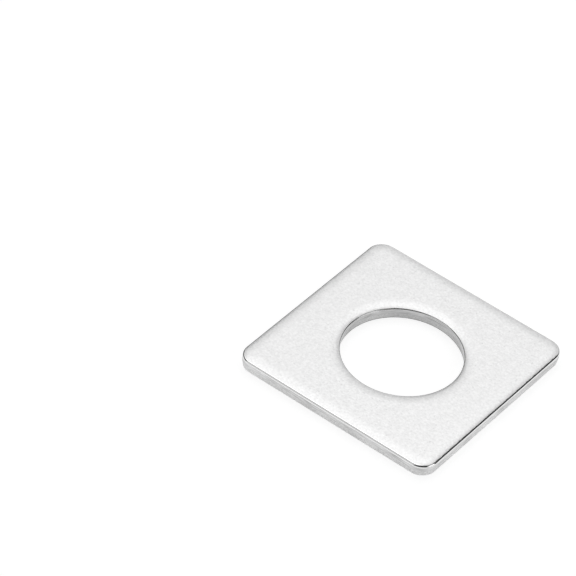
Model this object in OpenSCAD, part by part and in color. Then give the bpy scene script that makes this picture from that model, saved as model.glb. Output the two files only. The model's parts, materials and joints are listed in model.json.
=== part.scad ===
// Square plate washer, stamped in one piece from sheet steel.
// Sizes are in millimetres. The origin is the hole's centre on the underside, +Z points up
// along the hole, and X and Y run along the sides.
//
// Punch and die shear the outer edge and the hole in the same way, so both carry one section.
// From the top it has a soft die roll, a shoulder that bends down faster, a tumbled lip, a smooth
// burnished band that stands straight, and a torn band that leans back to a tumbled foot.
// Only the lip differs: tumbling rounds it more on the outer edge than in the hole.

/* [Plate] */
// Length of each side, over the burnished edges
plate_side = 40; // [33:0.5:80]
// Thickness of the sheet
plate_t = 2.5; // [2:0.1:6]
// Radius of the corners, seen from above
corner_r = 3; // [2.8:0.1:6]

/* [Hole] */
// Diameter of the hole, across its burnished wall
hole_d = 21; // [8:0.1:28]

/* [Sheared edge] */
// Width of the band where the top face rolls down to the edge
roll_w = 2.3; // [1.8:0.1:2.7]
// Depth that the die roll's arc alone would reach at the edge
roll_drop = 0.22; // [0.1:0.01:0.3]
// Width of the shoulder
shoulder_w = 0.9; // [0.5:0.05:1.2]
// Radius of the shoulder
shoulder_r = 3.2; // [2:0.1:5]
// Radius of the outer edge's lip, between the shoulder and the burnished band
edge_lip_r = 0.4; // [0.1:0.01:0.5]
// Radius of the hole's lip
hole_lip_r = 0.25; // [0.1:0.01:0.5]
// Height of the burnished band on the outer edge
burnish_h = 0.7; // [0.3:0.05:1]
// Distance that the torn band has leaned back at the underside
tear_lean = 0.22; // [0.1:0.01:0.4]
// Radius of the foot between the torn band and the underside
foot_r = 0.08; // [0.05:0.01:0.3]

/* [Hidden] */
$fn = 96;
// Segments in the large circles of the die roll, of which only a short arc is used
roll_fn = 768;
steel_colour = [0.86, 0.86, 0.86];

// Height by which an arc is lifted, so that it crosses the arc before it instead of touching it
arc_lift = 0.002;
// Share of the foot's radius by which its arc stands out, so that it crosses the torn band
foot_overlap = 0.08;

hole_r = hole_d / 2;
// Straight stretch of each side, between two corners
run_len = plate_side - 2 * corner_r;
// Width of the ring around the hole that carries the sheared section
ring_w = roll_w + edge_lip_r;
// Step to which the die roll's radius is rounded, so that its arc meets the top face exactly
roll_step = 0.01;
// Radius of the die roll's arc, which leaves the top face level
roll_r = roll_step * round((roll_w ^ 2 + roll_drop ^ 2) / (2 * roll_drop * roll_step));
// Slant at which the die roll meets the shoulder
roll_end = asin((roll_w - shoulder_w) / roll_r);
// Place of the shoulder arc's centre: distance behind the burnished band, and height
shoulder_back = shoulder_w + shoulder_r * sin(roll_end);
shoulder_z = plate_t - roll_r + (roll_r - shoulder_r) * cos(roll_end) + arc_lift;
// Slant at which the shoulder meets a lip
function shoulder_end(lip_r) = asin((shoulder_back - lip_r) / (shoulder_r - lip_r));
// Width of a lip
function lip_w(lip_r) = lip_r * (1 - sin(shoulder_end(lip_r)));
// Height of a lip arc's centre
function lip_z(lip_r) = shoulder_z + (shoulder_r - lip_r) * cos(shoulder_end(lip_r)) + arc_lift;
// Height at which the burnished band ends and the torn band starts
tear_z = lip_z(edge_lip_r) - burnish_h;
// Distance that the torn band leans back for each millimetre down
tear_slope = tear_lean / tear_z;
// Distance of the foot arc's centre behind the burnished band
foot_back = tear_slope * (tear_z - foot_r) + foot_r * (sqrt(1 + tear_slope ^ 2) - foot_overlap);

// Quarter of a disc, from its own +X to its own +Y
module quarter_disc(radius) {
    intersection() {
        circle(radius);
        square(2 * radius);
    }
}

// Everything below the top face: level, then sinking along the die roll's arc
module rolled_top(width) {
    level_w = width - roll_w;
    square([level_w, plate_t]);
    intersection() {
        translate([level_w, 0]) square([roll_w, 2 * plate_t]);
        translate([level_w, plate_t - roll_r]) circle(roll_r, $fn = roll_fn);
    }
}

// Everything behind the shoulder
module rolled_shoulder(width) {
    square([width - shoulder_w, 2 * plate_t]);
    square([2 * width, tear_z]);
    translate([width - shoulder_back, shoulder_z]) quarter_disc(shoulder_r, $fn = roll_fn);
}

// Everything behind the lip and the burnished band
module burnished_edge(width, lip_r) {
    square([width - lip_w(lip_r), 2 * plate_t]);
    square([width, lip_z(lip_r)]);
    translate([width - lip_r, lip_z(lip_r)]) quarter_disc(lip_r);
}

// Everything behind the torn band, down to a sharp lower edge
module torn_edge(width) {
    polygon([
        [0, 0],
        [width - tear_lean, 0],
        [width, tear_z],
        [width, 2 * plate_t],
        [0, 2 * plate_t]
    ]);
}

// Everything behind the rounded foot
module rounded_foot(width) {
    square([width - foot_back, foot_r]);
    translate([0, foot_r]) square([width, 2 * plate_t]);
    translate([width - foot_back, foot_r]) mirror([0, 1]) quarter_disc(foot_r);
}

// Section of a sheared edge, from X = 0 inside the plate to the burnished band at X = width
module sheared_section(width, lip_r) {
    intersection() {
        rolled_top(width);
        rolled_shoulder(width);
        burnished_edge(width, lip_r);
        torn_edge(width);
        rounded_foot(width);
    }
}

// One side's straight stretch and the corner that follows it
module side_and_corner() {
    translate([run_len / 2, 0, 0])
        rotate([90, 0, 0])
            linear_extrude(run_len, center = true) sheared_section(corner_r, edge_lip_r);
    translate([run_len / 2, run_len / 2, 0])
        rotate_extrude(angle = 90) sheared_section(corner_r, edge_lip_r);
}

// Ring that carries the hole's edge
module hole_ring() {
    rotate_extrude()
        translate([hole_r + ring_w, 0]) mirror([1, 0]) sheared_section(ring_w, hole_lip_r);
}

// Level sheet, which reaches halfway into the level stretch of each sheared section
module level_sheet() {
    linear_extrude(plate_t)
        difference() {
            square(run_len + corner_r - roll_w, center = true);
            circle(hole_r + (roll_w + ring_w) / 2);
        }
}

module square_washer() {
    color(steel_colour) {
        for (side = [0:3]) rotate(90 * side) side_and_corner();
        hole_ring();
        level_sheet();
    }
}

square_washer();
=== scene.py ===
"""Looks of the square plate washer: the stamped plate, its steel, the studio and the camera."""

import json
import math

import bpy
from mathutils import Matrix, Quaternion, Vector, noise


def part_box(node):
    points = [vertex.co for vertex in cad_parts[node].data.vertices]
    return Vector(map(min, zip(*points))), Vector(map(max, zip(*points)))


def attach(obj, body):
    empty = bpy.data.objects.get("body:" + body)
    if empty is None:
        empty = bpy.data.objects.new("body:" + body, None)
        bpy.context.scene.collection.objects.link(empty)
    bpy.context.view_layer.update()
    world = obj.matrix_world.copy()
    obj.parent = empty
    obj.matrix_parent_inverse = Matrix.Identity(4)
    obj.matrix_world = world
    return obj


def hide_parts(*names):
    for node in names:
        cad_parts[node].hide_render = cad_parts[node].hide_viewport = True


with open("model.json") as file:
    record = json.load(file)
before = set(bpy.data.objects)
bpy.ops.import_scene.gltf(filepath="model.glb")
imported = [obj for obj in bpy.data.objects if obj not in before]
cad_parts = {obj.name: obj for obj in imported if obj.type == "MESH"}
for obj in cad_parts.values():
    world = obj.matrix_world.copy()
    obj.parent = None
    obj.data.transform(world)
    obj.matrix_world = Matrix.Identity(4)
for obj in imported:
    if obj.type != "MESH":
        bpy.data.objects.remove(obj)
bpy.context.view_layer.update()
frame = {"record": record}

MM = 0.001
NODE = "square_washer"

# Sizes of the plate, from the frame
plate_low, plate_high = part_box(NODE)
HALF_SIDE = (plate_high.x - plate_low.x) / 2
THICK = plate_high.z
BORE = next(mount for mount in frame["record"]["mounts"] if mount["name"] == "bolt_hole")
HOLE_R = BORE["dims"]["r_mm"] * MM
# Height at which the burnished band ends and the torn band starts
TEAR_Z = BORE["pos_m"][2] - BORE["dims"]["length_mm"] * MM / 2

# Section of the sheared edges
CORNER_R = 3 * MM
ROLL_W = 2.3 * MM
ROLL_DROP = 0.22 * MM
SHOULDER_W = 0.9 * MM
SHOULDER_R = 3.2 * MM
EDGE_LIP_R = 0.4 * MM
HOLE_LIP_R = 0.25 * MM
TEAR_LEAN = 0.22 * MM
FOOT_R = 0.08 * MM
ROLL_R = (ROLL_W ** 2 + ROLL_DROP ** 2) / (2 * ROLL_DROP)
ROLL_END = math.asin((ROLL_W - SHOULDER_W) / ROLL_R)
SHOULDER_BACK = SHOULDER_W + SHOULDER_R * math.sin(ROLL_END)
SHOULDER_Z = THICK - ROLL_R + (ROLL_R - SHOULDER_R) * math.cos(ROLL_END)

# Steps of the mesh along the outline and round its section
STEP_ALONG = 0.2 * MM
CORNER_STEPS = 20
ROLL_STEPS = 8
SHOULDER_STEPS = 8
LIP_STEPS = 10
BURNISH_STEPS = 4
TORN_STEPS = 8
FOOT_STEPS = 4
FACE_STEPS = 8

# Unevenness of the line where the metal tore: its height, and its slow and fine waves in a millimetre
TEAR_WOBBLE = 0.12 * MM
TEAR_WAVES = (0.9, 3.1)
TEAR_FINE_SHARE = 0.6
# Roughness of the torn band: its depth, its waves, and the share of the depth about which it varies
TORN_DEPTH = 0.025 * MM
TORN_WAVES = (2.3, 6.1)
TORN_FINE_SHARE = 0.7
TORN_MIDDLE = 0.8

# Grey of the steel. A pair holds the values at 0 and at 1 of a noise, which mostly stays near 0.5.
FACE_GREY = (0.65, 0.96)
SPECK_GREY = 0.66
EDGE_LIP_GREY = 0.84
# The hole's lip is painted darker than the edge's lip: painted shade
HOLE_LIP_PAINTED_SHADE_GREY = 0.64
BURNISHED_GREY = (0.2, 1.12)
TORN_GREY = (0.45, 1.15)
PATCH_SHADE = (0.7, 1.3)
# The hole's walls are painted darker: painted shade inside the hole
HOLE_WALL_PAINTED_SHADE = 0.8
# The foot of the hole's wall is painted near-black: a painted contact shadow
HOLE_FOOT_SHADOW_GREY = 0.08
# The tumbled faces and walls scatter a little light, the lips none
FACE_METALLIC = 0.8
LIP_METALLIC = 1.0

# Roughness of the steel, in pairs as above
FACE_DULLNESS = (0.34, 0.38)
EDGE_LIP_DULLNESS = 0.05
HOLE_LIP_DULLNESS = 0.2
BURNISHED_DULLNESS = (0.22, 0.38)
TORN_DULLNESS = (0.5, 0.7)

# Heights of the steel's fine relief, in millimetres; the lips lie level halfway up the grain
GRAIN_HEIGHT = 0.02
LIP_LEVEL = GRAIN_HEIGHT / 2
STREAK_HEIGHT = 0.01
CRUMB_HEIGHT = 0.05

# White paper: the grey that takes the shadow, and the glow that lifts it to white
PAPER_GREY = 0.3
PAPER_GLOW = 0.845
# Dim room round the lamps
ROOM_GREY = 0.06

# Camera: where it stands round the part, and where the part's origin falls in the picture
PICTURE = 576
SENSOR = 36
CAMERA_AZIMUTH = math.radians(34.006)
CAMERA_ELEVATION = math.radians(42.577)
CAMERA_ROLL = math.radians(6.522)
CAMERA_DISTANCE = 622.14 * MM
FOCAL_PIXELS = 3694.69
ORIGIN_RIGHT = 112.81
ORIGIN_DOWN = 73.26
CLIP_NEAR = 10 * MM
CLIP_FAR = 10000 * MM


def arc_points(inset, z, radius, start, end, steps):
    """Inset and height along an arc round a centre, between two slants, without the last point."""
    points = []
    for step in range(steps):
        slant = start + (end - start) * step / steps
        points.append((inset - radius * math.sin(slant), z + radius * math.cos(slant)))
    return points


def shoulder_end(lip_r):
    """Slant at which the shoulder meets a lip."""
    return math.asin((SHOULDER_BACK - lip_r) / (SHOULDER_R - lip_r))


def lip_height(lip_r):
    """Height of a lip arc's centre, where the burnished band starts."""
    return SHOULDER_Z + (SHOULDER_R - lip_r) * math.cos(shoulder_end(lip_r))


def rolled_points(lip_r):
    """Die roll, shoulder and lip, from the level face to the burnished band."""
    bend = shoulder_end(lip_r)
    roll = arc_points(ROLL_W, THICK - ROLL_R, ROLL_R, 0, ROLL_END, ROLL_STEPS)
    shoulder = arc_points(SHOULDER_BACK, SHOULDER_Z, SHOULDER_R, ROLL_END, bend, SHOULDER_STEPS)
    lip = arc_points(lip_r, lip_height(lip_r), lip_r, bend, math.pi / 2, LIP_STEPS)
    return roll + shoulder + lip


def burnished_points(top_z, tear_z):
    """Burnished band: straight down from the lip to the height at which the metal tore."""
    return [(0, top_z + (tear_z - top_z) * step / BURNISH_STEPS) for step in range(BURNISH_STEPS)]


def torn_and_foot_points(tear_z):
    """Torn band, leaning back to the rounded foot, and the foot down to the underside."""
    slope = TEAR_LEAN / tear_z
    foot_back = slope * (tear_z - FOOT_R) + FOOT_R * math.hypot(1, slope)
    foot_start = math.atan(slope)
    foot_top = FOOT_R * (1 - math.sin(foot_start))
    points = []
    for step in range(TORN_STEPS):
        z = tear_z + (foot_top - tear_z) * step / TORN_STEPS
        points.append((slope * (tear_z - z), z))
    for step in range(FOOT_STEPS + 1):
        turn = foot_start + (math.pi / 2 - foot_start) * step / FOOT_STEPS
        points.append((foot_back - FOOT_R * math.cos(turn), FOOT_R * (1 - math.sin(turn))))
    return points


def band_of_points():
    """Name of the band that each point of the sheared section belongs to."""
    return (
        ["face"] * (ROLL_STEPS + SHOULDER_STEPS)
        + ["lip"] * LIP_STEPS
        + ["burnished"] * (BURNISH_STEPS + 1)
        + ["torn"] * (TORN_STEPS - 1)
        + ["foot"] * FOOT_STEPS
        + ["face"]
    )


BANDS = band_of_points()


def unevenness(place, waves, fine_share):
    """Noise at a place: slow waves, and a share of fine ones."""
    slow, fine = waves
    here = place / MM
    return noise.noise(here * slow) + fine_share * noise.noise(here * fine)


def uneven_section(wall, inward, lip_r):
    """Points of the sheared edge at one place of a wall, with the unevenness of the tear."""
    tear_z = TEAR_Z + TEAR_WOBBLE * unevenness(wall, TEAR_WAVES, TEAR_FINE_SHARE)
    section = rolled_points(lip_r) + burnished_points(lip_height(lip_r), tear_z)
    section += torn_and_foot_points(tear_z)
    points = []
    for name, (inset, z) in zip(BANDS, section):
        point = wall + inward * inset + Vector((0, 0, z))
        if name == "torn":
            rough = unevenness(point, TORN_WAVES, TORN_FINE_SHARE)
            point += inward * TORN_DEPTH * max(0, TORN_MIDDLE + rough)
        points.append(point)
    return points


def outline_places():
    """Wall point and inward direction of each station, once round the plate."""
    run_half = HALF_SIDE - CORNER_R
    run_steps = round(2 * run_half / STEP_ALONG)
    places = []
    for side in range(4):
        turn = Matrix.Rotation(side * math.pi / 2, 3, "Z")
        for step in range(run_steps):
            wall = Vector((HALF_SIDE, -run_half + 2 * run_half * step / run_steps, 0))
            places.append((turn @ wall, turn @ Vector((-1, 0, 0))))
        for step in range(CORNER_STEPS):
            angle = math.pi / 2 * step / CORNER_STEPS
            outward = Vector((math.cos(angle), math.sin(angle), 0))
            wall = Vector((run_half, run_half, 0)) + outward * CORNER_R
            places.append((turn @ wall, turn @ -outward))
    return places


def between(start, end):
    """Points that part a level stretch into equal steps, without its two ends."""
    return [start.lerp(end, step / FACE_STEPS) for step in range(1, FACE_STEPS)]


def closed_ring(wall, inward):
    """Points once round the plate's section, from the outer edge to the hole and back."""
    outer = uneven_section(wall, inward, EDGE_LIP_R)
    from_hole = wall.normalized()
    hole = uneven_section(from_hole * HOLE_R, from_hole, HOLE_LIP_R)
    return outer + between(outer[-1], hole[-1]) + hole[::-1] + between(hole[0], outer[0])


def band_share(wanted):
    """1 for each point of a ring that lies in the wanted band, and 0 for the rest."""
    section = [float(name == wanted) for name in BANDS]
    level = [0.0] * (FACE_STEPS - 1)
    return section + level + section[::-1] + level


def hole_share():
    """1 for each point of a ring that lies on the hole's edge, and 0 for the rest."""
    section = len(BANDS)
    level = [0.0] * (FACE_STEPS - 1)
    return [0.0] * section + level + [1.0] * section + level


def make_washer():
    """The stamped plate as one closed mesh of quads, with its bands as attributes."""
    rings = [closed_ring(wall, inward) for wall, inward in outline_places()]
    count = len(rings)
    size = len(rings[0])
    faces = []
    for ring in range(count):
        after = (ring + 1) % count
        for point in range(size):
            below = (point + 1) % size
            corners = ((ring, point), (ring, below), (after, below), (after, point))
            faces.append([place * size + index for place, index in corners])
    mesh = bpy.data.meshes.new("washer")
    mesh.from_pydata([point for ring in rings for point in ring], [], faces)
    shares = {name: band_share(name) for name in ("lip", "burnished", "torn", "foot")}
    shares["hole"] = hole_share()
    for name, share in shares.items():
        attribute = mesh.attributes.new(name, "FLOAT", "POINT")
        attribute.data.foreach_set("value", share * count)
    mesh.shade_smooth()
    washer = bpy.data.objects.new("washer", mesh)
    bpy.context.scene.collection.objects.link(washer)
    return washer


def add_node(tree, kind, settings=None, **inputs):
    """New node with some of its settings and of its input values set."""
    node = tree.nodes.new(kind)
    for name, value in (settings or {}).items():
        setattr(node, name, value)
    for name, value in inputs.items():
        node.inputs[name].default_value = value
    return node


def feed(tree, socket, value):
    """Gives a socket a number or the output of another node."""
    if isinstance(value, bpy.types.NodeSocket):
        tree.links.new(value, socket)
    else:
        socket.default_value = value


def calculate(tree, operation, *values):
    """Output of a Math node."""
    node = add_node(tree, "ShaderNodeMath", {"operation": operation})
    for socket, value in zip(node.inputs, values):
        feed(tree, socket, value)
    return node.outputs[0]


def blend(tree, share, first, second):
    """Number that goes from the first value to the second as share goes from 0 to 1."""
    node = add_node(tree, "ShaderNodeMix", {"data_type": "FLOAT"})
    feed(tree, node.inputs["Factor"], share)
    feed(tree, node.inputs["A"], first)
    feed(tree, node.inputs["B"], second)
    return node.outputs["Result"]


def band(tree, name):
    """Share of a band of the sheared section, from the mesh's attribute."""
    node = add_node(tree, "ShaderNodeAttribute", {"attribute_name": name})
    return node.outputs["Fac"]


def clouds(tree, per_mm, detail, upright=1.0):
    """Noise from 0 to 1 with so many waves a millimetre. Upright above 1 flattens it to level streaks."""
    coords = add_node(tree, "ShaderNodeTexCoord")
    scale = add_node(tree, "ShaderNodeMapping", Scale=Vector((1, 1, upright)) / MM)
    feed(tree, scale.inputs["Vector"], coords.outputs["Object"])
    texture = add_node(tree, "ShaderNodeTexNoise", Scale=per_mm, Detail=detail)
    feed(tree, texture.inputs["Vector"], scale.outputs["Vector"])
    return texture.outputs["Fac"]


def peaks(tree, texture, start, full):
    """0 where a texture lies below start, rising to 1 where it reaches full."""
    node = add_node(tree, "ShaderNodeMapRange")
    feed(tree, node.inputs["Value"], texture)
    feed(tree, node.inputs["From Min"], start)
    feed(tree, node.inputs["From Max"], full)
    return node.outputs["Result"]


def steel_bands(tree):
    """Shares of the sheared section's bands, and of the hole's edge."""
    return {name: band(tree, name) for name in ("lip", "burnished", "torn", "foot", "hole")}


def steel_textures(tree):
    """Noises from which the looks of the steel are made."""
    return {
        "grain": clouds(tree, per_mm=2, detail=2),
        "dust": clouds(tree, per_mm=2.6, detail=2),
        "specks": peaks(tree, clouds(tree, per_mm=2.1, detail=1), start=0.66, full=0.8),
        "streaks": clouds(tree, per_mm=0.4, detail=2, upright=12),
        "crumbs": clouds(tree, per_mm=4, detail=3),
        "patches": clouds(tree, per_mm=0.15, detail=1),
    }


def wall_grey(tree, bands, textures):
    """Grey of the walls: streaks on the burnished band, crumbs on the torn one, slow patches, and painted
    shade inside the hole.
    """
    burnished = blend(tree, textures["streaks"], *BURNISHED_GREY)
    torn = blend(tree, textures["crumbs"], *TORN_GREY)
    grey = blend(tree, bands["torn"], burnished, torn)
    grey = calculate(tree, "MULTIPLY", grey, blend(tree, textures["patches"], *PATCH_SHADE))
    # Painted shade darkens the walls inside the hole
    return calculate(tree, "MULTIPLY", grey, blend(tree, bands["hole"], 1.0, HOLE_WALL_PAINTED_SHADE))


def steel_grey(tree, bands, textures):
    """Grey of the steel: dusty faces with dark specks, bright edge lips, a hole lip darkened as painted
    shade, the walls, and the hole's foot darkened as a painted shadow.
    """
    grey = blend(tree, textures["dust"], *FACE_GREY)
    grey = blend(tree, textures["specks"], grey, SPECK_GREY)
    # Lips: the edge's lip bright, the hole's lip darkened with painted shade
    grey = blend(tree, bands["lip"], grey, blend(tree, bands["hole"], EDGE_LIP_GREY, HOLE_LIP_PAINTED_SHADE_GREY))
    walls = calculate(tree, "ADD", bands["burnished"], bands["torn"])
    grey = blend(tree, walls, grey, wall_grey(tree, bands, textures))
    # Painted contact shadow along the foot of the hole's wall
    hole_foot_shadow = calculate(tree, "MULTIPLY", bands["foot"], bands["hole"])
    return blend(tree, hole_foot_shadow, grey, HOLE_FOOT_SHADOW_GREY)


def steel_dullness(tree, bands, textures):
    """Roughness of the steel: satin faces, shiny lips, a streaked burnish, a dull torn band."""
    lip = blend(tree, bands["hole"], EDGE_LIP_DULLNESS, HOLE_LIP_DULLNESS)
    burnished = blend(tree, textures["streaks"], *BURNISHED_DULLNESS)
    torn = blend(tree, textures["crumbs"], *TORN_DULLNESS)
    dullness = blend(tree, textures["dust"], *FACE_DULLNESS)
    dullness = blend(tree, bands["lip"], dullness, lip)
    dullness = blend(tree, bands["burnished"], dullness, burnished)
    return blend(tree, bands["torn"], dullness, torn)


def steel_relief(tree, bands, textures):
    """Fine relief of the steel, as the normal of a bump."""
    burnished = calculate(tree, "MULTIPLY", textures["streaks"], STREAK_HEIGHT)
    torn = calculate(tree, "MULTIPLY", textures["crumbs"], CRUMB_HEIGHT)
    height = calculate(tree, "MULTIPLY", textures["grain"], GRAIN_HEIGHT)
    height = blend(tree, bands["lip"], height, LIP_LEVEL)
    height = blend(tree, bands["burnished"], height, burnished)
    height = blend(tree, bands["torn"], height, torn)
    bump = add_node(tree, "ShaderNodeBump", Distance=MM)
    feed(tree, bump.inputs["Height"], height)
    return bump.outputs["Normal"]


def tumbled_steel():
    """Steel tumbled to a satin, with bright edge lips, a streaked burnish, a dull torn band, and painted
    shade and shadow in the hole.
    """
    material = bpy.data.materials.new("tumbled_steel")
    material.use_nodes = True
    tree = material.node_tree
    inputs = tree.nodes["Principled BSDF"].inputs
    bands = steel_bands(tree)
    textures = steel_textures(tree)
    feed(tree, inputs["Base Color"], steel_grey(tree, bands, textures))
    feed(tree, inputs["Metallic"], blend(tree, bands["lip"], FACE_METALLIC, LIP_METALLIC))
    feed(tree, inputs["Roughness"], steel_dullness(tree, bands, textures))
    feed(tree, inputs["Normal"], steel_relief(tree, bands, textures))
    return material


def white_floor_material():
    """White paper: it takes the part's shadow, and shows white to the eye and in the steel."""
    material = bpy.data.materials.new("white_paper")
    material.use_nodes = True
    tree = material.node_tree
    tree.nodes.clear()
    paper = add_node(tree, "ShaderNodeBsdfDiffuse", Color=(PAPER_GREY, PAPER_GREY, PAPER_GREY, 1))
    path = add_node(tree, "ShaderNodeLightPath")
    seen = path.outputs["Is Camera Ray"]
    for ray in ("Is Glossy Ray", "Is Transmission Ray"):
        seen = calculate(tree, "MAXIMUM", seen, path.outputs[ray])
    glow = add_node(tree, "ShaderNodeEmission")
    feed(tree, glow.inputs["Strength"], calculate(tree, "MULTIPLY", seen, PAPER_GLOW))
    both = add_node(tree, "ShaderNodeAddShader")
    feed(tree, both.inputs[0], paper.outputs[0])
    feed(tree, both.inputs[1], glow.outputs[0])
    output = add_node(tree, "ShaderNodeOutputMaterial")
    feed(tree, output.inputs["Surface"], both.outputs[0])
    return material


def make_floor():
    """Round sheet of paper, a hair below the part, whose rim sweeps up all round it."""
    flat_r = 1.6
    rim_r = 2.4
    rim_h = 0.2
    drop = 0.02 * MM
    steps_round = 96
    steps_out = 12
    points = [(0, 0, -drop)]
    faces = []
    for step in range(steps_out + 1):
        share = step / steps_out
        radius = flat_r + (rim_r - flat_r) * share
        z = rim_h * share ** 2 - drop
        for turn in range(steps_round):
            angle = 2 * math.pi * turn / steps_round
            points.append((radius * math.cos(angle), radius * math.sin(angle), z))
    for turn in range(steps_round):
        following = (turn + 1) % steps_round
        faces.append((0, 1 + turn, 1 + following))
        for step in range(steps_out):
            inner = 1 + step * steps_round
            outer = inner + steps_round
            faces.append((inner + turn, outer + turn, outer + following, inner + following))
    mesh = bpy.data.meshes.new("floor")
    mesh.from_pydata(points, [], faces)
    mesh.shade_smooth()
    floor = bpy.data.objects.new("floor", mesh)
    bpy.context.scene.collection.objects.link(floor)
    floor.data.materials.append(white_floor_material())


def direction(azimuth, elevation):
    """Unit vector towards a place round the part, with azimuth 0 in front of the -Y side."""
    a = math.radians(azimuth)
    e = math.radians(elevation)
    return Vector((math.sin(a) * math.cos(e), -math.cos(a) * math.cos(e), math.sin(e)))


def add_softbox(name, azimuth, elevation, width, height, radiance, lean=0):
    """Flat lamp that faces the part, with its size and its lean to the left in degrees, seen from there."""
    distance = 2.0
    towards = direction(azimuth, elevation)
    lamp = bpy.data.lights.new(name, "AREA")
    lamp.shape = "RECTANGLE"
    lamp.size = 2 * distance * math.tan(math.radians(width / 2))
    lamp.size_y = 2 * distance * math.tan(math.radians(height / 2))
    lamp.energy = radiance * math.pi * lamp.size * lamp.size_y
    softbox = bpy.data.objects.new(name, lamp)
    softbox.location = towards * distance
    softbox.rotation_mode = "QUATERNION"
    facing = towards.to_track_quat("Z", "Y")
    softbox.rotation_quaternion = Quaternion(towards, math.radians(-lean)) @ facing
    softbox.visible_camera = False
    bpy.context.scene.collection.objects.link(softbox)


def make_light():
    """Soft studio light: two broad lamps over the back, and a fill at front left and on the right."""
    add_softbox("over_back", azimuth=215, elevation=50, width=83, height=57, radiance=0.76, lean=-45)
    add_softbox("high_back", azimuth=225, elevation=68, width=51, height=43, radiance=0.83, lean=-23)
    add_softbox("front_left_fill", azimuth=330, elevation=32, width=40, height=50, radiance=0.6)
    add_softbox("right_fill", azimuth=100, elevation=32, width=36, height=38, radiance=1.4)
    world = bpy.data.worlds.new("studio")
    world.use_nodes = True
    room = world.node_tree.nodes["Background"]
    room.inputs["Color"].default_value = (ROOM_GREY, ROOM_GREY, ROOM_GREY, 1)
    bpy.context.scene.world = world


def make_camera():
    """Camera at the photograph's viewing angle."""
    back = Vector((
        math.sin(CAMERA_AZIMUTH) * math.cos(CAMERA_ELEVATION),
        -math.cos(CAMERA_AZIMUTH) * math.cos(CAMERA_ELEVATION),
        math.sin(CAMERA_ELEVATION),
    ))
    level = Vector((math.cos(CAMERA_AZIMUTH), math.sin(CAMERA_AZIMUTH), 0))
    tilt = Matrix.Rotation(CAMERA_ROLL, 3, back)
    right = tilt @ level
    up = back.cross(right)
    data = bpy.data.cameras.new("camera")
    data.sensor_width = SENSOR
    data.lens = FOCAL_PIXELS / PICTURE * SENSOR
    data.clip_start = CLIP_NEAR
    data.clip_end = CLIP_FAR
    camera = bpy.data.objects.new("camera", data)
    aside = right * -ORIGIN_RIGHT + up * ORIGIN_DOWN
    place = back * CAMERA_DISTANCE + aside * (CAMERA_DISTANCE / FOCAL_PIXELS)
    turn = Matrix((right, up, back)).transposed()
    camera.matrix_world = Matrix.LocRotScale(place, turn, None)
    bpy.context.scene.collection.objects.link(camera)
    bpy.context.scene.camera = camera


washer = make_washer()
washer.data.materials.append(tumbled_steel())
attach(washer, "root")
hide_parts(NODE)
make_floor()
make_light()
make_camera()
bpy.context.scene.view_settings.view_transform = "Standard"
